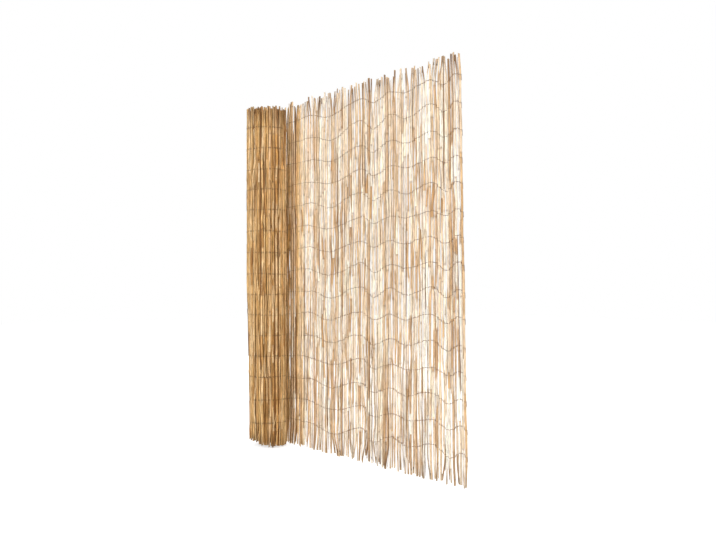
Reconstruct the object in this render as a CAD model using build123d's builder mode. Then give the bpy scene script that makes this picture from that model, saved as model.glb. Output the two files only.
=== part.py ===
from build123d import *

import os
from collections import namedtuple
from math import cos, degrees, floor, pi, radians, sin
from random import Random

# Reed screening mat, partly unrolled: a standing roll whose outer turn runs out into a flat sheet.
# Millimetres. The ground is Z = 0, the sheet runs along X with its back to +Y, and the roll
# stands at the -X end, in front of the sheet.

# Mat
mat_height = 1000.0  # lowest reed end to highest reed end
sheet_length = 730.0  # flat stretch, from where it leaves the roll to the free edge
end_scatter = 14.0  # the reeds end unevenly, within this much at the top and at the bottom
end_steps = 4  # the scatter is taken in this many steps

# Roll
roll_radius = 59.0  # middle of the outermost turn
core_radius = 16.0  # the innermost turn is no tighter than this
turn_slack = 1.0  # room between one turn, the wire on it and the next turn
roll_drop = 18.0  # the reeds of the roll end this much lower at the top

# Reeds
thin_reed = 5.0  # diameter of the thinnest reed
thick_reed = 7.6  # diameter of the thickest reed
reed_spacing = 3.6  # room between two reeds, where the wires cross
neck_thickness = 3.0  # wall in the valley between two reeds
reed_seed = 9  # fixes the mix of thick and thin, long and short

# Gaps between the reeds of the sheet, as wide as the room between them
bridge_height = 12.0  # two reeds stay joined over this height, at a wire
joined_at = ("wire", "foot", "wire", "head", "wire")  # where each pair of reeds stays joined, in turn
spared_rows = 2  # a wire that joins a pair is not in this many rows at the top or at the bottom

# Binding wires
wire_thickness = 1.2
wire_clearance = 0.05  # between a wire and the thickest reed
wire_rows = 15
bottom_margin = 72.0  # lowest wire above the ground
top_margin = 60.0  # highest wire below the highest reed end
crests = ((20, 10), (108, 14), (256, 11), (373, 16), (612, 5))  # of a wire: from the free edge, up
troughs = ((58, 9), (200, 3), (324, 10), (511, 14))  # of a wire: from the free edge, down
half_turn_runs = 8  # straight runs of a wire in half a turn of the roll
loop_sweep = 315.0  # a wire is seen this far round the roll, in degrees, up to the sheet

wire_reach = thick_reed / 2 + wire_clearance  # middle of the mat to the inside of a wire
turn_pitch = 2 * wire_reach + wire_thickness + turn_slack
wire_pitch = (mat_height - bottom_margin - top_margin) / (wire_rows - 1)
edge_reach = wire_clearance + wire_thickness  # a wire goes round the free edge
roll_x = (roll_radius + wire_reach + wire_thickness - sheet_length - edge_reach) / 2
sheet_y = roll_radius
half_turns = floor(2 * (roll_radius - core_radius) / turn_pitch)

Reed = namedtuple("Reed", "start end diameter bottom top")
Gap = namedtuple("Gap", "station low high")


def turn_radius(half_turn):
    return roll_radius - half_turn * turn_pitch / 2


def on_turn(angle, offset=0.0):
    """Point of the roll, wound through an angle from where the sheet leaves it. Offset is outwards."""
    half_turn = min(int(angle // 180), half_turns - 1)
    centre_y = -turn_pitch / 2 * (half_turn % 2)
    radius = turn_radius(half_turn) + offset
    return (roll_x - radius * sin(radians(angle)), centre_y + radius * cos(radians(angle)))


def on_mat(station, offset=0.0):
    """Point of the mat at a length from the free edge. Offset is to the back, or outwards in the roll."""
    wound = station - sheet_length
    if wound <= 0:
        return (roll_x - wound, sheet_y + offset)
    half_turn = 0
    while wound > pi * turn_radius(half_turn) and half_turn < half_turns - 1:
        wound -= pi * turn_radius(half_turn)
        half_turn += 1
    return on_turn(180 * half_turn + degrees(wound / turn_radius(half_turn)), offset)


def lay_reeds():
    """The reeds side by side, from the free edge to the core of the roll."""
    mat_length = sheet_length + sum(pi * turn_radius(half_turn) for half_turn in range(half_turns))
    end_step = end_scatter / end_steps
    mix = Random(reed_seed)
    reeds = []
    start = 0.0
    while True:
        diameter = mix.uniform(thin_reed, thick_reed)
        bottom = end_step * mix.randint(0, end_steps)
        drop = end_step * mix.randint(0, end_steps)
        end = start + diameter + reed_spacing
        if end > mat_length:
            return reeds
        if start > sheet_length:
            drop += roll_drop
        reeds.append(Reed(start, end, diameter, bottom, mat_height - drop))
        start = end


def reed_outline(reed):
    """Ridge of one reed on both faces of the wall, from valley to valley."""
    middle = (reed.start + reed.end) / 2
    crest = reed.diameter / 2
    stations = [
        (reed.start, neck_thickness / 2),
        (middle - crest / 2, crest),
        (middle + crest / 2, crest),
        (reed.end, neck_thickness / 2),
    ]
    outer = [on_mat(station, offset) for station, offset in stations]
    inner = [on_mat(station, -offset) for station, offset in reversed(stations)]
    return outer + inner


def row_height(row):
    return bottom_margin + row * wire_pitch


def wave_line():
    """How a wire wanders up and down along the sheet, from the free edge to the roll."""
    turns = sorted([*crests, *((station, -depth) for station, depth in troughs)])
    return [(-edge_reach, 0), *(turn for turn in turns if turn[0] < sheet_length), (sheet_length, 0)]


def wave_at(station):
    """How far a wire stands above its row, at a length from the free edge."""
    line = wave_line()
    for (before, low), (after, high) in zip(line, line[1:]):
        if station <= after:
            return low + (high - low) * (station - before) / (after - before)
    return 0.0


def open_gaps(reeds):
    """Slots between the sheet's reeds. A pair stays joined at one wire, or from an end to a wire."""
    mix = Random(reed_seed)
    gaps = []
    for index, reed in enumerate(reeds):
        if reed.end > sheet_length:
            break
        join = joined_at[index % len(joined_at)]
        any_row = mix.randint(spared_rows, wire_rows - 1 - spared_rows)
        row = {"foot": 0, "head": wire_rows - 1, "wire": any_row}[join]
        wire_height = row_height(row) + wave_at(reed.end)
        if join != "foot":
            gaps.append(Gap(reed.end, -bridge_height, wire_height - bridge_height / 2))
        if join != "head":
            gaps.append(Gap(reed.end, wire_height + bridge_height / 2, mat_height + bridge_height))
    return gaps


def strand_outline(height):
    """One wire along the sheet, seen from the front."""
    line = [(on_mat(station)[0], height + wave) for station, wave in wave_line()]
    upper = [(x, level + wire_thickness / 2) for x, level in line]
    lower = [(x, level - wire_thickness / 2) for x, level in line]
    return upper + lower[::-1]


def loop_outline():
    """One wire round the roll, seen from above, in straight runs that clear the reeds."""
    run_angle = 180 / half_turn_runs

    def runs(offset):
        points = [on_turn(0, offset)]
        for run in range(floor(loop_sweep / run_angle)):
            angle = (run + 0.5) * run_angle
            radius = turn_radius(int(angle // 180))
            points.append(on_turn(angle, (radius + offset) / cos(radians(run_angle / 2)) - radius))
        return points

    return runs(wire_reach + wire_thickness) + runs(wire_reach)[::-1]


# Wall of reeds, with a ridge for each reed on both faces, wound into the roll at one end
reeds = lay_reeds()
gaps = open_gaps(reeds)

with BuildPart() as reed_mat:
    stems = []
    for reed in reeds:
        with BuildSketch(Plane.XY.offset(reed.bottom)):
            with BuildLine():
                Polyline(*reed_outline(reed), close=True)
            make_face()
        stems.append(extrude(amount=reed.top - reed.bottom, mode=Mode.PRIVATE))
    add(stems)
    slots = []
    for gap in gaps:
        x, y = on_mat(gap.station)
        with Locations((x, y, (gap.low + gap.high) / 2)):
            slots.append(Box(reed_spacing, 2 * thick_reed, gap.high - gap.low, mode=Mode.PRIVATE))
    add(slots, mode=Mode.SUBTRACT)
reed_mat.part.label = "reed_mat"

os.makedirs("parts", exist_ok=True)
export_step(reed_mat.part, "parts/reed_mat.step")

# Binding wires: along the front of the sheet, round its free edge, along its back and round the roll
for row in range(wire_rows):
    height = row_height(row)
    with BuildPart() as wire:
        for near_face in (sheet_y - wire_reach, sheet_y + wire_reach + wire_thickness):
            with BuildSketch(Plane.XZ.offset(-near_face)):
                with BuildLine():
                    Polyline(*strand_outline(height), close=True)
                make_face()
            extrude(amount=wire_thickness)
        with Locations((on_mat(-edge_reach + wire_thickness / 2)[0], sheet_y, height)):
            Box(wire_thickness, 2 * (wire_reach + wire_thickness), wire_thickness)
        with BuildSketch(Plane.XY.offset(height - wire_thickness / 2)):
            with BuildLine():
                Polyline(*loop_outline(), close=True)
            make_face()
        extrude(amount=wire_thickness)
    wire.part.label = f"binding_wire_{row + 1:02d}"
    export_step(wire.part, f"parts/{wire.part.label}.step")

print(len(reeds), "reeds,", len(gaps), "gaps,", len(reed_mat.part.solids()), "solid in the mat")
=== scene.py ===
import math
from random import Random

import bpy
import numpy as np
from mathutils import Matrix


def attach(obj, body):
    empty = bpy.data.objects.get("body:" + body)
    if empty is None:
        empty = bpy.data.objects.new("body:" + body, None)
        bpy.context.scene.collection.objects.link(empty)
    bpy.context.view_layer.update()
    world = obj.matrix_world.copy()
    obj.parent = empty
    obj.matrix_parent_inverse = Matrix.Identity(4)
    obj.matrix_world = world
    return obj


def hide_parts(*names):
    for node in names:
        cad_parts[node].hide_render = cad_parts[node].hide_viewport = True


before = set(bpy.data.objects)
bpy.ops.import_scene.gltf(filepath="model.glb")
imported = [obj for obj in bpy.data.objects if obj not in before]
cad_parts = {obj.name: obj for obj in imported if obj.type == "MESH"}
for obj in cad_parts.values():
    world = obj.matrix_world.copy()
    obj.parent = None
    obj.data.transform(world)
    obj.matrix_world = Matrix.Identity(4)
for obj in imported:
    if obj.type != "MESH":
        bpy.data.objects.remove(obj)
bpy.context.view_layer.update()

print("frame loaded:", len(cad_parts), "nodes")

# Layout of the mat, in metres, as the solids have it
mat = {
    "height": 1.0,
    "sheetLength": 0.73,
    "endScatter": 0.014,
    "endSteps": 4,
    "rollRadius": 0.059,
    "coreRadius": 0.016,
    "turnSlack": 0.001,
    "rollDrop": 0.018,
    "thinReed": 0.005,
    "thickReed": 0.0076,
    "reedSpacing": 0.0036,
    "nudge": 0.00001,  # step along the mat that gives its direction
    "seed": 9,
    "wireThickness": 0.0012,
    "wireClearance": 0.00005,
    "wireRows": 15,
    "bottomMargin": 0.072,
    "topMargin": 0.06,
    "crests": ((0.02, 0.01), (0.108, 0.014), (0.256, 0.011), (0.373, 0.016), (0.612, 0.005)),
    "troughs": ((0.058, 0.009), (0.2, 0.003), (0.324, 0.01), (0.511, 0.014)),
}
wireReach = mat["thickReed"] / 2 + mat["wireClearance"]
turnPitch = 2 * wireReach + mat["wireThickness"] + mat["turnSlack"]
edgeReach = mat["wireClearance"] + mat["wireThickness"]
wirePitch = (mat["height"] - mat["bottomMargin"] - mat["topMargin"]) / (mat["wireRows"] - 1)
rollX = (mat["rollRadius"] + wireReach + mat["wireThickness"] - mat["sheetLength"] - edgeReach) / 2
halfTurns = math.floor(2 * (mat["rollRadius"] - mat["coreRadius"]) / turnPitch)


def turnRadius(halfTurn):
    return mat["rollRadius"] - halfTurn * turnPitch / 2


def rowHeight(row):
    return mat["bottomMargin"] + row * wirePitch


def windAngle(station):
    wound = max(0.0, station - mat["sheetLength"])
    halfTurn = 0
    while wound > math.pi * turnRadius(halfTurn) and halfTurn < halfTurns - 1:
        wound -= math.pi * turnRadius(halfTurn)
        halfTurn += 1
    return halfTurn, wound / turnRadius(halfTurn)


# Point of the mat at a length from its free edge; offset goes to the back, or outwards in the roll
def onMat(station, offset=0.0):
    if station <= mat["sheetLength"]:
        return np.array((rollX + mat["sheetLength"] - station, mat["rollRadius"] + offset))
    halfTurn, angle = windAngle(station)
    angle += math.pi * halfTurn
    radius = turnRadius(halfTurn) + offset
    centreY = -turnPitch / 2 * (halfTurn % 2)
    return np.array((rollX - radius * math.sin(angle), centreY + radius * math.cos(angle)))


def layReeds():
    matLength = mat["sheetLength"] + sum(math.pi * turnRadius(turn) for turn in range(halfTurns))
    endStep = mat["endScatter"] / mat["endSteps"]
    mix = Random(mat["seed"])
    reeds = []
    start = 0.0
    while True:
        diameter = mix.uniform(mat["thinReed"], mat["thickReed"])
        bottom = endStep * mix.randint(0, mat["endSteps"])
        drop = endStep * mix.randint(0, mat["endSteps"])
        end = start + diameter + mat["reedSpacing"]
        if end > matLength:
            return reeds
        if start > mat["sheetLength"]:
            drop += mat["rollDrop"]
        middle = (start + end) / 2
        along = onMat(middle + mat["nudge"]) - onMat(middle - mat["nudge"])
        along = along / np.linalg.norm(along)
        halfTurn, _ = windAngle(middle)
        zone = "sheet" if middle < mat["sheetLength"] else "outer" if halfTurn < 2 else "inner"
        reeds.append({
            "start": start,
            "end": end,
            "middle": middle,
            "radius": diameter / 2,
            "bottom": bottom,
            "top": mat["height"] - drop,
            "zone": zone,
            "centre": onMat(middle),
            "along": along,
            "out": np.array((along[1], -along[0])),
        })
        start = end


# Screen colour, from 0 to 255, as the shares of light that the shaders take
def linear(colour):
    shares = np.array(colour, dtype=float) / 255
    return np.where(shares <= 0.04045, shares / 12.92, ((shares + 0.055) / 1.055) ** 2.4)


def smooth(value):
    value = np.clip(value, 0.0, 1.0)
    return value * value * (3 - 2 * value)


def partWay(first, second, share):
    return first + (second - first) * share


# Dry reed stems: jointed, hollow, tapering a little and fanning out past the end wires
reedLook = {
    "seed": 31,
    "sides": 10,
    "sharpAngle": 50,
    "ringStep": 0.013,
    "hiddenStep": 0.12,  # between the rings of stems that the outer turn hides
    "fringeStep": 0.012,
    "fringeFrom": (0.02, 0.03),  # beyond the lowest and the highest wire
    "ringMargin": 0.0012,
    "ringApart": 0.0007,
    "firstJoint": (0.03, 0.16),
    "lastJoint": 0.02,
    "jointStep": {"sheet": (0.1, 0.2), "outer": (0.06, 0.14), "inner": (0.13, 0.24)},
    "jointRings": (-0.005, -0.0016, 0.0, 0.0018, 0.006),
    "jointSwell": 0.09,
    "swellLength": 0.0022,
    "waist": 0.035,  # a stem is slimmer just above a joint
    "waistAbove": 0.014,
    "waistLength": 0.009,
    "fullness": {"sheet": 0.9, "outer": 0.92, "inner": 1.15},  # of the solids' reeds
    "limpness": (0.35, 1.5),
    "touch": 0.94,
    "touchPasses": 24,
    "bends": 18,
    "crook": {"sheet": 0.0026, "outer": 0.0025, "inner": 0.0006},
    "crookOut": {"sheet": 0.0009, "outer": 0.0005, "inner": 0.0003},
    "endLean": {"sheet": 0.0085, "outer": 0.0034, "inner": 0.002},
    "endOut": {"sheet": 0.003, "outer": 0.0014, "inner": 0.0014},
    "edgeLean": (-0.0105, 0.0135),  # of the free edge, at the bottom and at the top
    "edgeZone": 0.16,
    "sideAngle": math.radians(141),
    "sideSpread": math.radians(50),
    "sideHeights": (0.0, 0.13, 0.5, 1.0),
    "sideBulge": (-0.0092, -0.0084, 0.0004, 0.001),
    "liftAngle": math.radians(172),
    "liftSpread": math.radians(60),
    "lift": 0.019,
    "settle": 0.5,  # how much of the solids' uneven ends is kept
    "slideHeights": (0.07, 0.2, 0.35, 0.5, 0.7, 0.82, 0.94),
    "slides": (0.0, 0.008, 0.0, -0.009, -0.012, -0.021, -0.025),
    "slideBy": math.radians(110),
    "bindRings": (-0.0045, 0.0, 0.0045),
    "bindBlur": 0.0026,
    # Rust stain and painted shadow where the wires bind the outer turn
    "bindTint": (96, 64, 34),
    "bindShare": (0.05, 0.6),
    "rollTop": 0.977,
    "topTaper": (0.52, 0.92),
    "topTaperFrom": 0.86,
    "bottomTaper": (0.54, 0.96),
    "wall": 0.26,
    "holeDepth": 0.016,
    "holeTaper": 0.92,
    "cutSlope": 0.0009,
    "cutRagged": 0.0006,
    "rimShade": 0.35,
    "endPale": 0.3,
    "shortShare": 0.04,
    "shortBy": (0.008, 0.02),
    "shade": 0.06,
    "toneSpread": 0.1,
    "tipShare": {"sheet": {"top": 0.66, "bottom": 0.52}, "roll": {"top": 0.95, "bottom": 0.75}},
    "tipLength": {"top": (0.025, 0.09), "bottom": (0.015, 0.06)},
    "lowShade": 0.06,
    "tipDepth": (0.4, 0.95),
    "tipFade": 1.15,
    "jointDark": (0.05, 0.6),
    "jointRing": 0.002,
    "jointBlur": 0.003,
    "jointChange": (0.0, 0.7),  # how far the tint changes from one joint to the next
    "huskShare": {"sheet": 0.55, "roll": 0.7},
    "huskDepth": (0.4, 1.0),
    "huskLength": (0.025, 0.1),
    "huskBlur": 0.007,
    "huskRings": (-0.01, -0.0035, 0.0035, 0.01),
    "huskSlant": (0.001, 0.009),
    "huskRagged": 0.0022,
    "evenness": 0.16,
    "patchStep": 0.015,
    "patchTone": {"sheet": 0.1, "roll": 0.22},
    "streaks": {"sheet": (4, 9), "roll": (8, 15)},
    "streakLength": (0.014, 0.07),
    "streakDark": (0.12, 0.52),
    "streakFade": (1.3, 1.6),  # along and across
    "streakWidth": 0.63,
    "jointTint": (122, 86, 54),
    "tints": {
        "sheet": (
            (252, 245, 230), (249, 239, 220), (246, 232, 209), (240, 220, 193), (236, 212, 181),
            (222, 190, 152), (206, 169, 127), (192, 153, 112), (232, 222, 208), (244, 228, 204),
            (228, 200, 163), (180, 141, 100),
        ),
        "roll": (
            (225, 187, 134), (215, 174, 115), (235, 205, 160), (208, 167, 107), (195, 160, 101),
            (221, 183, 138), (196, 150, 88), (240, 215, 174), (182, 136, 74), (166, 120, 60),
        ),
    },
    "husks": {
        "sheet": ((252, 244, 226), (248, 235, 209), (238, 217, 185), (214, 176, 130), (198, 156, 109)),
        "roll": ((238, 208, 162), (228, 194, 146), (210, 170, 116), (178, 131, 74)),
    },
    "streakTints": ((136, 88, 36), (160, 110, 54), (114, 72, 28), (186, 144, 92)),
    "tips": {
        "sheet": ((110, 74, 42), (130, 92, 54), (90, 60, 34), (152, 110, 66), (140, 98, 54)),
        "roll": ((96, 60, 28), (116, 78, 40), (78, 48, 22), (140, 98, 54), (122, 82, 42)),
    },
    "cut": (222, 198, 158),
    "cutTone": {"sheet": 1.0, "roll": 0.75},
    # Painted shade inside the open ends of the stems
    "hollow": (62, 44, 28),
    "goldenFrom": (0.652, 0.698),
    "edgeTint": (210, 172, 126),
    "warm": (216, 170, 108),
    "warmFrom": (0.61, 0.69),
    "warmShare": 0.75,
    # Painted light round the crevice between the roll and the sheet: its centre, strength and reach
    "crevice": (0.05, 0.05),
    "creviceReach": 0.058,
    "creviceLift": 0.8,
    "palest": {"sheet": (252, 245, 232), "roll": (242, 206, 152)},
    # Painted shade on the stems of the inner turns
    "innerTone": (0.9, 0.82, 0.68),
    "brightest": 0.94,
}
lowFringe = mat["bottomMargin"] + reedLook["fringeFrom"][0]
highFringe = mat["height"] - mat["topMargin"] - reedLook["fringeFrom"][1]


def ringAngles(sides):
    return np.arange(sides) * 2 * math.pi / sides


# How much a reed belongs to one side of the roll: its left is slimmer at the foot, its front ends higher
def sideShare(plan, facing, spread):
    if plan["zone"] == "sheet":
        return 0.0
    halfTurn, angle = windAngle(plan["middle"])
    angle = (halfTurn * math.pi + angle) % (2 * math.pi)
    return math.exp(-((angle - facing) / spread) ** 2)


# The wires slide up or down a little on the way round the roll, most of all near its top
def rollSlide(plan, height):
    if plan["zone"] == "sheet":
        return 0.0
    halfTurn, angle = windAngle(plan["middle"])
    share = float(smooth((halfTurn * math.pi + angle) / reedLook["slideBy"]))
    return share * float(np.interp(height, reedLook["slideHeights"], reedLook["slides"]))


# The stems bend to and fro between the wires, and fan out at the ends, until they touch
def bendReeds(plans, mix):
    look = reedLook
    for plan in plans:
        plan["bends"] = np.zeros((look["bends"], 2))
        plan["limpness"] = mix.uniform(*look["limpness"])
    for level in range(look["bends"]):
        atEnd = level in (0, look["bends"] - 1)
        alongMost = look["endLean"] if atEnd else look["crook"]
        outMost = look["endOut"] if atEnd else look["crookOut"]
        shifts = []
        for plan in plans:
            shifts.append(alongMost[plan["zone"]] * plan["limpness"] * mix.uniform(-1, 1))
            plan["bends"][level, 1] = outMost[plan["zone"]] * mix.uniform(-1, 1)
        for _ in range(look["touchPasses"]):
            for index in range(len(plans) - 1):
                here = plans[index]
                there = plans[index + 1]
                room = there["middle"] - here["middle"] + shifts[index + 1] - shifts[index]
                overlap = look["touch"] * (here["radius"] + there["radius"]) - room
                if overlap > 0:
                    shifts[index] -= overlap / 2
                    shifts[index + 1] += overlap / 2
        height = mat["height"] * level / (look["bends"] - 1)
        bulge = float(np.interp(height, look["sideHeights"], look["sideBulge"]))
        lean = partWay(*look["edgeLean"], height / mat["height"])
        for plan, shift in zip(plans, shifts):
            plan["bends"][level, 0] = shift + lean * float(smooth(1 - plan["middle"] / look["edgeZone"]))
            plan["bends"][level, 1] += bulge * sideShare(plan, look["sideAngle"], look["sideSpread"])


def bendAt(plan, heights):
    place = np.clip(heights / mat["height"], 0.0, 1.0) * (reedLook["bends"] - 1)
    below = np.minimum(place.astype(int), reedLook["bends"] - 2)
    share = smooth(place - below)[:, None]
    return partWay(plan["bends"][below], plan["bends"][below + 1], share)


# The two ends of a stem, its joints, the ends of its sheaths, its wires, and the rings that show them
def reedLevels(plan, mix):
    look = reedLook
    bottom = plan["bottom"] * look["settle"]
    bottom += look["lift"] * sideShare(plan, look["liftAngle"], look["liftSpread"])
    top = plan["top"]
    if plan["zone"] != "sheet":
        lowered = top + look["rollTop"] - mat["height"] + mat["rollDrop"]
        top = partWay(look["rollTop"], lowered, look["settle"])
    elif mix.random() < look["shortShare"]:
        bottom += mix.uniform(*look["shortBy"])
    joints = []
    height = bottom + mix.uniform(*look["firstJoint"])
    while height < top - look["lastJoint"]:
        joints.append(height)
        height += mix.uniform(*look["jointStep"][plan["zone"]])
    huskEnds = [joint + mix.uniform(*look["huskLength"]) for joint in joints]
    binds = []
    if plan["zone"] == "outer":
        rows = [rowHeight(row) for row in range(mat["wireRows"])]
        binds = [row + rollSlide(plan, row) for row in rows]
    step = look["hiddenStep"] if plan["zone"] == "inner" else look["ringStep"]
    levels = list(np.arange(bottom, top, step))
    levels += list(np.arange(bottom, lowFringe, look["fringeStep"]))
    levels += list(np.arange(highFringe, top, look["fringeStep"]))
    for places, rings in ((joints, "jointRings"), (huskEnds, "huskRings"), (binds, "bindRings")):
        levels += [place + shift for place in places for shift in look[rings]]
    heights = [bottom]
    for level in sorted(levels):
        inside = bottom + look["ringMargin"] < level < top - look["ringMargin"]
        if inside and level - heights[-1] > look["ringApart"]:
            heights.append(level)
    return {
        "joints": joints,
        "huskEnds": huskEnds,
        "binds": binds,
        "heights": np.array(heights + [top]),
    }


def reedRadii(plan, levels, lowFade, mix):
    look = reedLook
    heights = levels["heights"]
    topFade = smooth((heights - look["topTaperFrom"]) / (mat["height"] - look["topTaperFrom"]))
    radii = np.full(len(heights), plan["radius"] * look["fullness"][plan["zone"]])
    radii *= 1 - (1 - mix.uniform(*look["topTaper"])) * topFade
    radii *= 1 - (1 - mix.uniform(*look["bottomTaper"])) * lowFade
    for joint in levels["joints"]:
        radii *= 1 + look["jointSwell"] * np.exp(-((heights - joint) / look["swellLength"]) ** 2)
        waist = (heights - joint - look["waistAbove"]) / look["waistLength"]
        radii *= 1 - look["waist"] * np.exp(-waist ** 2)
    return radii


# Tint of a stem along its height: its own, a new one above each joint, the sheaths and soft patches,
# with painted light near the crevice and painted shade on the inner turns
def reedTones(plan, levels, family, lowFade, mix):
    look = reedLook
    heights = levels["heights"]
    tints = [linear(tint) for tint in look["tints"][family]]
    husks = [linear(tint) for tint in look["husks"][family]]
    base = partWay(mix.choice(tints), np.mean(tints, axis=0), look["evenness"])
    if plan["start"] == 0:
        base = linear(look["edgeTint"])
    base = base * (1 + mix.uniform(-1, 1) * look["toneSpread"])
    # Painted light: stems paler where the roll and the sheet shade each other, lifting that shade
    apart = np.linalg.norm(plan["centre"] - (rollX + look["crevice"][0], look["crevice"][1]))
    base = base * (1 + look["creviceLift"] * math.exp(-(apart / look["creviceReach"]) ** 2))
    base = np.minimum(base, linear(look["palest"][family]))
    # Painted shade: the inner turns' stems darker and browner, as the roll shades them
    if plan["zone"] == "inner":
        base = base * look["innerTone"]
    tones = np.tile(base, (len(heights), 1))
    for joint, huskEnd in zip(levels["joints"], levels["huskEnds"]):
        above = smooth((heights - joint) / look["jointBlur"] + 0.5)[:, None]
        changed = partWay(base, mix.choice(tints), mix.uniform(*look["jointChange"]))
        tones = partWay(tones, changed, above)
        if mix.random() < look["huskShare"][family]:
            husk = partWay(base, mix.choice(husks), mix.uniform(*look["huskDepth"]))
            covered = above * smooth((huskEnd - heights) / look["huskBlur"] + 0.5)[:, None]
            tones = partWay(tones, husk, covered)
    marks = np.arange(0, mat["height"] + look["patchStep"], look["patchStep"])
    patches = [1 + look["patchTone"][family] * mix.uniform(-1, 1) for _ in marks]
    tones = tones * np.interp(heights, marks, patches)[:, None]
    if family == "sheet":
        nearRoll = np.interp(plan["middle"], look["warmFrom"], (0.0, look["warmShare"]))
        tones = partWay(tones, linear(look["warm"]), nearRoll)
    return tones * (1 - look["lowShade"] * lowFade)[:, None]


# Those tints round every ring, with streaks, dark joints, rust stain and painted shadow at the wires,
# and dark tips
def reedColours(plan, levels, family, tones, mix):
    look = reedLook
    heights = levels["heights"]
    bottom = heights[0]
    top = heights[-1]
    angles = ringAngles(look["sides"])
    slant = mix.uniform(*look["huskSlant"]) * np.sin(angles + mix.uniform(0, 2 * math.pi))
    slant += [look["huskRagged"] * mix.uniform(-1, 1) for _ in angles]
    ragged = heights[:, None] + slant
    colours = np.stack([np.interp(ragged, heights, tones[:, part]) for part in range(3)], axis=2)
    alongFade, acrossFade = look["streakFade"]
    for _ in range(0 if plan["zone"] == "inner" else mix.randint(*look["streaks"][family])):
        length = mix.uniform(*look["streakLength"])
        middle = mix.uniform(bottom, top)
        along = smooth(alongFade - np.abs(heights - middle) / length * 2)[:, None]
        turned = np.abs(np.angle(np.exp(1j * (angles - mix.choice(angles)))))
        across = np.clip(acrossFade - turned / look["streakWidth"], 0, 1)
        streak = mix.uniform(*look["streakDark"]) * along * across
        colours = partWay(colours, linear(mix.choice(look["streakTints"])), streak[:, :, None])
    for joint in levels["joints"]:
        ring = np.exp(-((heights - joint) / look["jointRing"]) ** 2)[:, None, None]
        colours = partWay(colours, linear(look["jointTint"]), mix.uniform(*look["jointDark"]) * ring)
    bindMix = Random(round(plan["start"] * 1e6))
    # Rust stain and painted shadow of the wires on the outer turn's stems
    for bind in levels["binds"]:
        near = np.exp(-((heights - bind) / look["bindBlur"]) ** 2)
        mark = bindMix.uniform(*look["bindShare"]) * near
        colours = partWay(colours, linear(look["bindTint"]), mark[:, None, None])
    for end, away in (("top", top - ragged), ("bottom", ragged - bottom)):
        length = mix.uniform(*look["tipLength"][end])
        tipTint = linear(mix.choice(look["tips"][family]))
        depth = mix.uniform(*look["tipDepth"])
        if mix.random() < look["tipShare"][family][end]:
            share = (depth * smooth(look["tipFade"] - away / length))[:, :, None]
            colours = partWay(colours, tipTint, share)
    return np.clip(colours, 0.0, look["brightest"])


def growReed(plan, mix):
    levels = reedLevels(plan, mix)
    heights = levels["heights"]
    lowFade = smooth((lowFringe - heights) / lowFringe)
    radii = reedRadii(plan, levels, lowFade, mix)
    golden = mix.uniform(*reedLook["goldenFrom"])
    family = "roll" if plan["middle"] > golden else "sheet"
    tones = reedTones(plan, levels, family, lowFade, mix)
    shifts = bendAt(plan, heights)
    return {
        "plan": plan,
        "joints": levels["joints"],
        "heights": heights,
        "radius": radii,
        "alongShift": shifts[:, 0],
        "outShift": shifts[:, 1],
        "colours": reedColours(plan, levels, family, tones, mix),
        "family": family,
    }


def reedAt(reed, height):
    along = float(np.interp(height, reed["heights"], reed["alongShift"]))
    out = float(np.interp(height, reed["heights"], reed["outShift"]))
    return along, out, float(np.interp(height, reed["heights"], reed["radius"]))


def reedAxis(reed, along, out):
    plan = reed["plan"]
    return plan["centre"] + along * plan["along"] + out * plan["out"]


def stemMesh(reed, mix):
    look = reedLook
    sides = look["sides"]
    angles = ringAngles(sides)
    circle = np.stack((np.cos(angles), np.sin(angles)), axis=1)
    shade = 1 + look["shade"] * np.sin(angles + mix.uniform(0, 2 * math.pi))
    cut = linear(look["cut"]) * look["cutTone"][reed["family"]]
    # Painted shade on the hole's floor, with the rim darkened towards it
    hollow = linear(look["hollow"])
    count = len(reed["heights"])
    rings = []
    tints = []

    def addRing(index, scale, lift, tint):
        axis = reedAxis(reed, reed["alongShift"][index], reed["outShift"][index])
        flat = axis + circle * reed["radius"][index] * scale
        rings.append(np.column_stack((flat, np.full(sides, reed["heights"][index]) + lift)))
        tints.append(shade[:, None] * tint)

    slopes = []
    for _ in range(2):
        lean = mix.uniform(0, 2 * math.pi)
        slope = look["cutSlope"] * (0.5 + 0.5 * np.cos(angles - lean))
        slopes.append(slope + np.array([mix.uniform(0, look["cutRagged"]) for _ in range(sides)]))
    inside = 1 - look["wall"]
    rim = partWay(cut, hollow, look["rimShade"])
    addRing(0, inside * look["holeTaper"], look["holeDepth"], hollow)
    addRing(0, inside, slopes[0], rim)
    addRing(0, 1.0, slopes[0], partWay(reed["colours"][0], cut, look["endPale"]))
    for index in range(1, count - 1):
        addRing(index, 1.0, 0.0, reed["colours"][index])
    addRing(count - 1, 1.0, -slopes[1], partWay(reed["colours"][-1], cut, look["endPale"]))
    addRing(count - 1, inside, -slopes[1], rim)
    addRing(count - 1, inside * look["holeTaper"], -look["holeDepth"], hollow)
    points = np.concatenate(rings + [rings[0].mean(axis=0)[None], rings[-1].mean(axis=0)[None]])
    colours = np.concatenate(tints + [hollow[None], hollow[None]])
    return points, tubeFaces(len(rings), sides), colours


# Papery leaf sheaths that still cling to some stems above a joint
sheathLook = {
    "share": {"sheet": 0.3, "roll": 0.55},
    "length": (0.03, 0.11),
    "above": 0.001,
    "highest": 0.84,
    "span": (2.6, 4.4),
    "tipSpan": 0.35,
    "narrowing": 1.6,
    "lift": 0.00022,
    "flare": (0.0, 0.0011),
    "flaring": 3,
    "ragged": 0.006,
    "raggedWay": (-1, 0.3),
    "edgeTone": 0.5,
    "edgeShare": 0.6,
    "edgePower": 6,
    "thickness": 0.00016,
    "rows": 8,
    "columns": 7,
}


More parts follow.
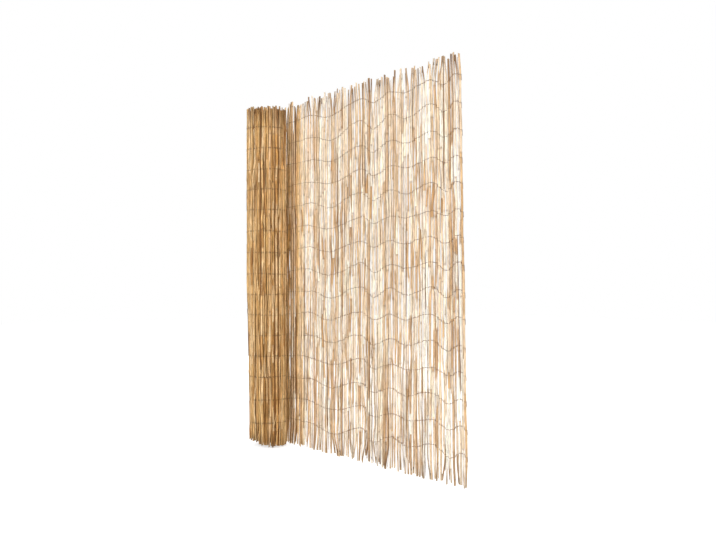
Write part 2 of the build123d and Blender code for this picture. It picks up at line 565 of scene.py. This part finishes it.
def sheathMesh(reed, joint, mix):
    look = sheathLook
    rows = look["rows"]
    columns = look["columns"]
    length = mix.uniform(*look["length"])
    span = mix.uniform(*look["span"])
    facing = mix.uniform(0, 2 * math.pi)
    flare = mix.uniform(*look["flare"])
    tint = linear(mix.choice(reedLook["husks"][reed["family"]]))
    dark = tint * look["edgeTone"]
    points = []
    colours = []
    for layer in (look["thickness"], 0.0):
        for row in range(rows):
            share = row / (rows - 1)
            height = joint + look["above"] + length * share
            along, out, radius = reedAt(reed, height)
            axis = reedAxis(reed, along, out)
            width = span * (1 - (1 - look["tipSpan"]) * share ** look["narrowing"])
            size = radius + look["lift"] + layer + flare * share ** look["flaring"]
            for column in range(columns):
                across = column / (columns - 1) - 0.5
                angle = facing + width * across
                ragged = 0.0
                if layer:
                    ragged = look["ragged"] * share * mix.uniform(*look["raggedWay"])
                flat = axis + size * np.array((math.cos(angle), math.sin(angle)))
                points.append((flat[0], flat[1], height + ragged))
                edge = max(abs(across) * 2, share) ** look["edgePower"]
                colours.append(partWay(tint, dark, look["edgeShare"] * edge))
    faces = []
    grid = rows * columns
    for row in range(rows - 1):
        for column in range(columns - 1):
            corner = row * columns + column
            quad = (corner, corner + 1, corner + columns + 1, corner + columns)
            faces.append(quad)
            faces.append(tuple(grid + point for point in reversed(quad)))
    border = list(range(columns))
    border += [row * columns + columns - 1 for row in range(1, rows)]
    border += [(rows - 1) * columns + column for column in range(columns - 2, -1, -1)]
    border += [row * columns for row in range(rows - 2, 0, -1)]
    for index, point in enumerate(border):
        after = border[(index + 1) % len(border)]
        faces.append((after, point, grid + point, grid + after))
    return np.array(points), faces, np.array(colours)


# Thin stems caught between the main ones; their darker tints also paint the shade lines in the gaps
# between stems
sliverLook = {
    "sorts": {"sheet": ("straw",), "crowd": ("filler", "filler", "crowd"), "outer": ("filler", "short")},
    "crowdFrom": 0.645,
    "tries": {"straw": 8, "crowd": 4, "short": 14, "filler": 1},
    "share": {"straw": 0.5, "crowd": 0.8, "short": 0.62, "filler": 1.0},
    "radius": {
        "straw": (0.0005, 0.0012),
        "crowd": (0.0009, 0.0018),
        "short": (0.0006, 0.0015),
        "filler": (0.0012, 0.002),
    },
    "length": {"straw": (0.05, 0.45), "crowd": (0.1, 0.5), "short": (0.03, 0.18), "filler": (0.6, 0.95)},
    "endShare": {"straw": 0.25, "crowd": 0.35, "short": 0.15, "filler": 0.5},
    "out": {
        "straw": (0.0005, 0.003),
        "crowd": (0.0004, 0.003),
        "short": (0.0008, 0.0036),
        "filler": (0.0003, 0.002),
    },
    "across": {"straw": 0.0026, "crowd": 0.0018, "short": 0.0046, "filler": 0.0007},
    "lean": {"straw": 0.002, "crowd": 0.002, "short": 0.0055, "filler": 0.0014},
    "tone": (0.74, 1.12),
    "endTone": 0.5,
    "endGap": (0.001, 0.008),
    "tapered": (0.02, 0.05),  # at the lower and at the upper end
    "taper": (0.8, 1.0, 0.85, 0.45),
    "wander": 0.0006,
    "ringStep": 0.045,
    "fewestRings": 4,
    "sides": 7,
    # The darkest tints paint the shade lines between the stems
    "tints": {
        "sheet": ((128, 90, 54), (158, 118, 76), (196, 158, 114), (238, 214, 182), (250, 241, 224)),
        "roll": ((132, 88, 42), (160, 112, 60), (194, 148, 88), (220, 178, 118), (238, 202, 148)),
    },
}


def sliverSorts(plan, mix):
    crowded = plan["zone"] == "sheet" and plan["end"] > sliverLook["crowdFrom"]
    sorts = []
    for sort in sliverLook["sorts"]["crowd" if crowded else plan["zone"]]:
        for _ in range(sliverLook["tries"][sort]):
            if mix.random() < sliverLook["share"][sort]:
                sorts.append(sort)
    return sorts


def sliverMesh(reed, beside, sort, mix):
    look = sliverLook
    sides = look["sides"]
    plan = reed["plan"]
    length = mix.uniform(*look["length"][sort])
    lowest = float(reed["heights"][0]) + mix.uniform(*look["endGap"])
    highest = float(reed["heights"][-1]) - mix.uniform(*look["endGap"]) - length
    low = mix.uniform(lowest, highest)
    pull = mix.random()
    if pull < look["endShare"][sort]:
        low = lowest
    elif pull < 2 * look["endShare"][sort]:
        low = highest
    ringCount = max(look["fewestRings"], int(length / look["ringStep"]))
    heights = np.linspace(low, low + length, ringCount)
    radius = mix.uniform(*look["radius"][sort])
    tint = linear(mix.choice(look["tints"][reed["family"]]))
    facing = mix.uniform(*look["out"][sort])
    if plan["zone"] == "sheet":
        facing *= mix.choice((-1, 1))
    across = mix.uniform(-1, 1) * look["across"][sort]
    lean = mix.uniform(-1, 1) * look["lean"][sort]
    bends = (bendAt(plan, heights) + bendAt(beside["plan"], heights)) / 2
    bends[:, 0] += across + np.linspace(-lean, lean, len(heights))
    angles = ringAngles(sides)
    circle = np.stack((np.cos(angles), np.sin(angles)), axis=1)
    high = low + length
    taperAt = (low, low + look["tapered"][0], high - look["tapered"][1], high)
    taper = np.interp(heights, taperAt, look["taper"])
    points = []
    colours = []
    for height, scale, bend in zip(heights, taper, bends):
        drift = bend + [look["wander"] * mix.uniform(-1, 1) for _ in range(2)]
        centre = onMat(plan["end"]) + plan["along"] * drift[0] + plan["out"] * (facing + drift[1])
        flat = centre + circle * radius * scale
        points.append(np.column_stack((flat, np.full(sides, height))))
        colours.append(np.tile(tint * mix.uniform(*look["tone"]), (sides, 1)))
    ends = [points[0].mean(axis=0)[None], points[-1].mean(axis=0)[None]]
    colours += [tint[None] * look["endTone"]] * 2
    return np.concatenate(points + ends), tubeFaces(len(points), sides), np.concatenate(colours)


# Quads between rings of points, with a fan at each end to the two points that come last
def tubeFaces(ringCount, sides):
    faces = []
    for ring in range(ringCount - 1):
        low = ring * sides
        for side in range(sides):
            after = (side + 1) % sides
            faces.append((low + side, low + after, low + sides + after, low + sides + side))
    last = (ringCount - 1) * sides
    for side in range(sides):
        after = (side + 1) % sides
        faces.append((last + sides, after, side))
        faces.append((last + side, last + after, last + sides + 1))
    return faces


tintName = "reedTint"


# One piece from many chunks of points, faces and colours
def joinMesh(name, chunks, material, sharpAngle):
    points = []
    faces = []
    colours = []
    base = 0
    for chunk in chunks:
        points.append(chunk[0])
        colours.append(chunk[2])
        faces += [tuple(base + corner for corner in face) for face in chunk[1]]
        base += len(chunk[0])
    mesh = bpy.data.meshes.new(name)
    mesh.from_pydata(np.concatenate(points).tolist(), [], faces)
    tint = mesh.color_attributes.new(tintName, "FLOAT_COLOR", "POINT")
    shades = np.concatenate(colours)
    tint.data.foreach_set("color", np.column_stack((shades, np.ones(len(shades)))).ravel())
    mesh.shade_smooth()
    mesh.set_sharp_from_angle(angle=math.radians(sharpAngle))
    mesh.materials.append(material)
    piece = bpy.data.objects.new(name, mesh)
    bpy.context.collection.objects.link(piece)
    return piece


def addNode(tree, kind, **settings):
    node = tree.nodes.new(kind)
    for key, value in settings.items():
        setattr(node, key, value)
    return node


def startMaterial(name):
    material = bpy.data.materials.new(name)
    material.use_nodes = True
    return material, material.node_tree, material.node_tree.nodes["Principled BSDF"]


def grainNoise(tree, stretch, scale, detail):
    place = addNode(tree, "ShaderNodeTexCoord")
    squeeze = addNode(tree, "ShaderNodeMapping")
    squeeze.inputs["Scale"].default_value = stretch
    noise = addNode(tree, "ShaderNodeTexNoise")
    noise.inputs["Scale"].default_value = scale
    noise.inputs["Detail"].default_value = detail
    tree.links.new(place.outputs["Object"], squeeze.inputs["Vector"])
    tree.links.new(squeeze.outputs["Vector"], noise.inputs["Vector"])
    return noise.outputs["Fac"]


def rangeOf(tree, value, span, newSpan):
    node = addNode(tree, "ShaderNodeMapRange")
    node.inputs["From Min"].default_value = span[0]
    node.inputs["From Max"].default_value = span[1]
    node.inputs["To Min"].default_value = newSpan[0]
    node.inputs["To Max"].default_value = newSpan[1]
    tree.links.new(value, node.inputs["Value"])
    return node.outputs["Result"]


def mixColour(tree, kind, share, first, second):
    node = addNode(tree, "ShaderNodeMix", data_type="RGBA", blend_type=kind)
    for socket, value in ((0, share), (6, first), (7, second)):
        if isinstance(value, (int, float, tuple)):
            node.inputs[socket].default_value = value
        else:
            tree.links.new(value, node.inputs[socket])
    return node.outputs[2]


def addBump(tree, shader, height, finish):
    bump = addNode(tree, "ShaderNodeBump")
    bump.inputs["Strength"].default_value = finish["bump"]
    bump.inputs["Distance"].default_value = finish["bumpDepth"]
    tree.links.new(height, bump.inputs["Height"])
    tree.links.new(bump.outputs["Normal"], shader.inputs["Normal"])


# Dry reed: the tint of each stem under fine fibres, soft mottling, brown stains and dark specks.
# A grain is a stretch, a scale and a detail; a span is where a noise starts to show and shows fully
reedFinish = {
    "fibre": ((1.0, 1.0, 0.025), 1500.0, 3.0),
    "fibreTone": (0.82, 1.08),
    "mottle": ((1.0, 1.0, 0.13), 430.0, 2.0),
    "mottleTone": (0.75, 1.27),
    "toneSpan": (0.3, 0.7),
    "stain": ((1.0, 1.0, 0.13), 140.0, 4.0),
    "stainSpan": (0.56, 0.74),
    "stainMost": 0.42,
    "stainTint": (0.27, 0.16, 0.075, 1.0),
    "speck": ((1.0, 1.0, 0.3), 620.0, 2.0),
    "speckSpan": (0.66, 0.74),
    "speckMost": 0.5,
    "speckTint": (0.16, 0.1, 0.06, 1.0),
    "roughness": (0.42, 0.64),
    "gloss": 0.24,
    "bump": 0.35,
    "bumpDepth": 0.0004,
}


def makeReedMaterial():
    finish = reedFinish
    material, tree, shader = startMaterial("dryReed")
    tint = addNode(tree, "ShaderNodeAttribute", attribute_name=tintName)
    fibre = grainNoise(tree, *finish["fibre"])
    colour = tint.outputs["Color"]
    fibreTone = rangeOf(tree, fibre, finish["toneSpan"], finish["fibreTone"])
    colour = mixColour(tree, "MULTIPLY", 1.0, colour, fibreTone)
    mottle = grainNoise(tree, *finish["mottle"])
    mottleTone = rangeOf(tree, mottle, finish["toneSpan"], finish["mottleTone"])
    colour = mixColour(tree, "MULTIPLY", 1.0, colour, mottleTone)
    for mark in ("stain", "speck"):
        noise = grainNoise(tree, *finish[mark])
        share = rangeOf(tree, noise, finish[mark + "Span"], (0.0, finish[mark + "Most"]))
        colour = mixColour(tree, "MIX", share, colour, finish[mark + "Tint"])
    tree.links.new(colour, shader.inputs["Base Color"])
    shader.inputs["Specular IOR Level"].default_value = finish["gloss"]
    roughness = rangeOf(tree, fibre, finish["toneSpan"], finish["roughness"])
    tree.links.new(roughness, shader.inputs["Roughness"])
    addBump(tree, shader, fibre, finish)
    return material


# Dull wire that has browned in patches
wireFinish = {
    "dull": (0.17, 0.1, 0.056, 1.0),
    "brown": (0.2, 0.09, 0.036, 1.0),
    "patches": ((1.0, 1.0, 1.0), 260.0, 4.0),
    "brownSpan": (0.45, 0.66),
    "toneSpan": (0.3, 0.7),
    "metallic": 0.08,
    "gloss": 0.25,
    "roughness": (0.42, 0.66),
    "bump": 0.2,
    "bumpDepth": 0.0002,
}


def makeWireMaterial():
    finish = wireFinish
    material, tree, shader = startMaterial("dullWire")
    patches = grainNoise(tree, *finish["patches"])
    browning = rangeOf(tree, patches, finish["brownSpan"], (0.0, 1.0))
    colour = mixColour(tree, "MIX", browning, finish["dull"], finish["brown"])
    tree.links.new(colour, shader.inputs["Base Color"])
    shader.inputs["Metallic"].default_value = finish["metallic"]
    shader.inputs["Specular IOR Level"].default_value = finish["gloss"]
    roughness = rangeOf(tree, patches, finish["toneSpan"], finish["roughness"])
    tree.links.new(roughness, shader.inputs["Roughness"])
    addBump(tree, shader, patches, finish)
    return material


reedMaterial = makeReedMaterial()
wireMaterial = makeWireMaterial()

# The stems, in bundles of neighbours
bundles = {
    "sheet": ("sheet_reeds", 6),
    "outer": ("outer_turn_reeds", 3),
    "inner": ("inner_turn_reeds", 4),
}
reedMix = Random(reedLook["seed"])
plans = layReeds()
bendReeds(plans, reedMix)
reeds = [growReed(plan, reedMix) for plan in plans]
neighbours = dict(zip((plan["start"] for plan in plans), reeds[1:] + reeds[-1:]))
for zone, (bundleName, bundleCount) in bundles.items():
    members = [reed for reed in reeds if reed["plan"]["zone"] == zone]
    for bundle in range(bundleCount):
        chunks = []
        first = bundle * len(members) // bundleCount
        last = (bundle + 1) * len(members) // bundleCount
        for reed in members[first:last]:
            chunks.append(stemMesh(reed, reedMix))
            if zone == "inner":
                continue
            for joint in reed["joints"]:
                clings = reedMix.random() < sheathLook["share"][reed["family"]]
                if clings and joint < sheathLook["highest"]:
                    chunks.append(sheathMesh(reed, joint, reedMix))
            for sort in sliverSorts(reed["plan"], reedMix):
                chunks.append(sliverMesh(reed, neighbours[reed["plan"]["start"]], sort, reedMix))
        piece = joinMesh(f"{bundleName}_{bundle + 1}", chunks, reedMaterial, reedLook["sharpAngle"])
        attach(piece, "root")
        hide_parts("reed_mat")
print("stems:", len(reeds))

# Binding wires: two strands that twine round every reed and cross in the gaps
twine = {
    "seed": 5,
    "thickness": 0.0008,
    "sides": 6,
    "sharpAngle": 60,
    "wrap": (-64, -32, 0, 32, 64),
    "cross": 0.00045,
    "kink": 0.0013,
    "wave": (0.8, 1.08),  # how much of the solids' wave a row has
    "wander": {"sheet": 0.0018, "outer": 0.0012},
    "wanderRate": 42.0,
    "lastAngle": math.radians(340),
    "tailLength": 0.012,
    "tailTurns": 2.5,
    "tailPoints": 16,
    "tailRadius": 0.00056,
    "tailDrift": (0.004, 0.0052),  # along the mat and to its back
    "edgeGap": 1.3,
}


def waveAt(station):
    turns = sorted(list(mat["crests"]) + [(place, -depth) for place, depth in mat["troughs"]])
    line = [(-edgeReach, 0.0)] + turns + [(mat["sheetLength"], 0.0)]
    for (before, low), (after, high) in zip(line, line[1:]):
        if station < after:
            return low + (high - low) * float(smooth((station - before) / (after - before)))
    return 0.0


def strandPath(bound, levels, strand):
    half = twine["thickness"] / 2
    path = []
    first = bound[0]
    along, out, radius = reedAt(first, levels[0])
    edge = along - radius - half * twine["edgeGap"]
    alongDrift, backDrift = twine["tailDrift"]
    for step in range(twine["tailPoints"], 0, -1):
        share = step / twine["tailPoints"]
        angle = 2 * math.pi * twine["tailTurns"] * share + math.pi * strand
        swing = twine["tailRadius"] * math.cos(angle)
        flat = reedAxis(first, edge + alongDrift * share, out + backDrift * share + swing)
        flat = flat + first["plan"]["along"] * twine["tailRadius"] * math.sin(angle)
        path.append((flat[0], flat[1], levels[0] - twine["tailLength"] * share))
    for index, (reed, level) in enumerate(zip(bound, levels)):
        along, out, radius = reedAt(reed, level)
        face = 1 if (index + strand) % 2 else -1
        reach = radius + half
        for degrees in twine["wrap"]:
            turn = math.radians(degrees)
            flat = reedAxis(reed, along + reach * math.sin(turn), out + face * reach * math.cos(turn))
            rise = twine["cross"] * (strand - 0.5) * math.sin(turn) ** 2
            path.append((flat[0], flat[1], level + rise))
        if index + 1 < len(bound):
            nextReed = bound[index + 1]
            nextAlong, nextOut, _ = reedAt(nextReed, levels[index + 1])
            shift = (along + nextAlong) / 2
            flat = onMat(reed["plan"]["end"] + shift, (out + nextOut) / 2)
            rise = twine["cross"] * (1 if strand else -1)
            path.append((flat[0], flat[1], (level + levels[index + 1]) / 2 + rise))
    return np.array(path)


def tubeMesh(path, radius, sides):
    tangents = np.gradient(path, axis=0)
    tangents /= np.linalg.norm(tangents, axis=1)[:, None]
    side = np.cross((0.0, 0.0, 1.0), tangents[0])
    if np.linalg.norm(side) < 0.1:  # the path starts nearly upright
        side = np.cross((1.0, 0.0, 0.0), tangents[0])
    angles = ringAngles(sides)
    rings = []
    for point, tangent in zip(path, tangents):
        side = side - tangent * np.dot(side, tangent)
        side = side / np.linalg.norm(side)
        other = np.cross(tangent, side)
        circle = np.outer(np.cos(angles), side) + np.outer(np.sin(angles), other)
        rings.append(point + radius * circle)
    points = np.concatenate(rings + [path[:1], path[-1:]])
    return points, tubeFaces(len(rings), sides), np.ones((len(points), 3))


wireMix = Random(twine["seed"])
boundReeds = []
for reed in reeds:
    halfTurn, angle = windAngle(reed["plan"]["middle"])
    if halfTurn * math.pi + angle < twine["lastAngle"]:
        boundReeds.append(reed)
for row in range(mat["wireRows"]):
    wander = wireMix.uniform(0, 2 * math.pi)
    wave = wireMix.uniform(*twine["wave"])
    levels = []
    for reed in boundReeds:
        station = reed["plan"]["middle"]
        level = rowHeight(row) + waveAt(station) * wave + wireMix.uniform(-1, 1) * twine["kink"]
        drift = math.sin(station * twine["wanderRate"] + wander)
        level += twine["wander"][reed["plan"]["zone"]] * drift
        levels.append(level + rollSlide(reed["plan"], rowHeight(row)))
    strands = []
    for strand in (0, 1):
        path = strandPath(boundReeds, levels, strand)
        strands.append(tubeMesh(path, twine["thickness"] / 2, twine["sides"]))
    piece = joinMesh(f"twined_wire_{row + 1:02d}", strands, wireMaterial, twine["sharpAngle"])
    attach(piece, "root")
    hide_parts(f"binding_wire_{row + 1:02d}")
print("wires:", mat["wireRows"])

# Pale floor, soft light and the photograph's viewpoint
studio = {
    "floorHalf": 9.0,
    "floorDrop": 0.0003,
    "floorColour": (0.86, 0.86, 0.86, 1.0),
    "floorRoughness": 0.9,
    "floorGlow": 0.62,
    "worldStrength": 0.5,
    "lamps": (  # name, place, power and size
        ("keyLamp", (-0.3, -3.3, 2.2), 47.0, 2.2),
        ("fillLamp", (2.9, -1.7, 1.5), 68.0, 2.4),
        ("backLamp", (-1.6, 2.8, 2.4), 46.0, 2.4),
    ),
    "aim": (0.0, 0.03, 0.5),
}


# 1 for what the camera sees itself, in a gloss or through glass, and 0 for light that falls on the mat
def seenDirectly(tree):
    light = addNode(tree, "ShaderNodeLightPath")
    glossy = addNode(tree, "ShaderNodeMath", operation="MAXIMUM")
    anySeen = addNode(tree, "ShaderNodeMath", operation="MAXIMUM")
    tree.links.new(light.outputs["Is Camera Ray"], glossy.inputs[0])
    tree.links.new(light.outputs["Is Glossy Ray"], glossy.inputs[1])
    tree.links.new(glossy.outputs[0], anySeen.inputs[0])
    tree.links.new(light.outputs["Is Transmission Ray"], anySeen.inputs[1])
    return anySeen.outputs[0]


def makeFloor():
    half = studio["floorHalf"]
    mesh = bpy.data.meshes.new("studioFloor")
    corners = [(-half, -half, 0.0), (half, -half, 0.0), (half, half, 0.0), (-half, half, 0.0)]
    mesh.from_pydata(corners, [], [(0, 1, 2, 3)])
    material, tree, shader = startMaterial("paleFloor")
    shader.inputs["Base Color"].default_value = studio["floorColour"]
    shader.inputs["Roughness"].default_value = studio["floorRoughness"]
    shader.inputs["Specular IOR Level"].default_value = 0.0
    shader.inputs["Emission Color"].default_value = (1.0, 1.0, 1.0, 1.0)
    glow = rangeOf(tree, seenDirectly(tree), (0.0, 1.0), (0.0, studio["floorGlow"]))
    tree.links.new(glow, shader.inputs["Emission Strength"])
    mesh.materials.append(material)
    floor = bpy.data.objects.new("studioFloor", mesh)
    floor.location.z = -studio["floorDrop"]
    bpy.context.collection.objects.link(floor)


def makeWorld():
    world = bpy.data.worlds.new("studioWorld")
    world.use_nodes = True
    bpy.context.scene.world = world
    tree = world.node_tree
    background = tree.nodes["Background"]
    background.inputs["Color"].default_value = (1.0, 1.0, 1.0, 1.0)
    strength = rangeOf(tree, seenDirectly(tree), (0.0, 1.0), (studio["worldStrength"], 1.0))
    tree.links.new(strength, background.inputs["Strength"])


def aimAt(thing, target):
    way = np.array(target) - np.array(thing.location)
    thing.rotation_euler = (
        math.atan2(math.hypot(way[0], way[1]), -way[2]),
        0.0,
        math.atan2(-way[0], way[1]),
    )


def makeLamps():
    for name, place, power, size in studio["lamps"]:
        lamp = bpy.data.lights.new(name, "AREA")
        lamp.energy = power
        lamp.size = size
        holder = bpy.data.objects.new(name, lamp)
        holder.location = place
        aimAt(holder, studio["aim"])
        bpy.context.collection.objects.link(holder)


viewpoint = {
    "eye": (1.7122, -1.3132, 0.457),
    "turn": 51.155,
    "lens": 41.8,
    "sensor": 36.0,
    "rise": 17.9 / 716,  # upright shift of the picture, in shares of its width
}


def makeCamera():
    camera = bpy.data.cameras.new("photoCamera")
    camera.lens = viewpoint["lens"]
    camera.sensor_width = viewpoint["sensor"]
    camera.shift_y = viewpoint["rise"]
    holder = bpy.data.objects.new("photoCamera", camera)
    holder.location = viewpoint["eye"]
    holder.rotation_euler = (math.radians(90), 0.0, math.radians(viewpoint["turn"]))
    bpy.context.collection.objects.link(holder)
    bpy.context.scene.camera = holder


makeFloor()
makeWorld()
makeLamps()
makeCamera()
bpy.context.scene.view_settings.view_transform = "Standard"
print("studio ready")
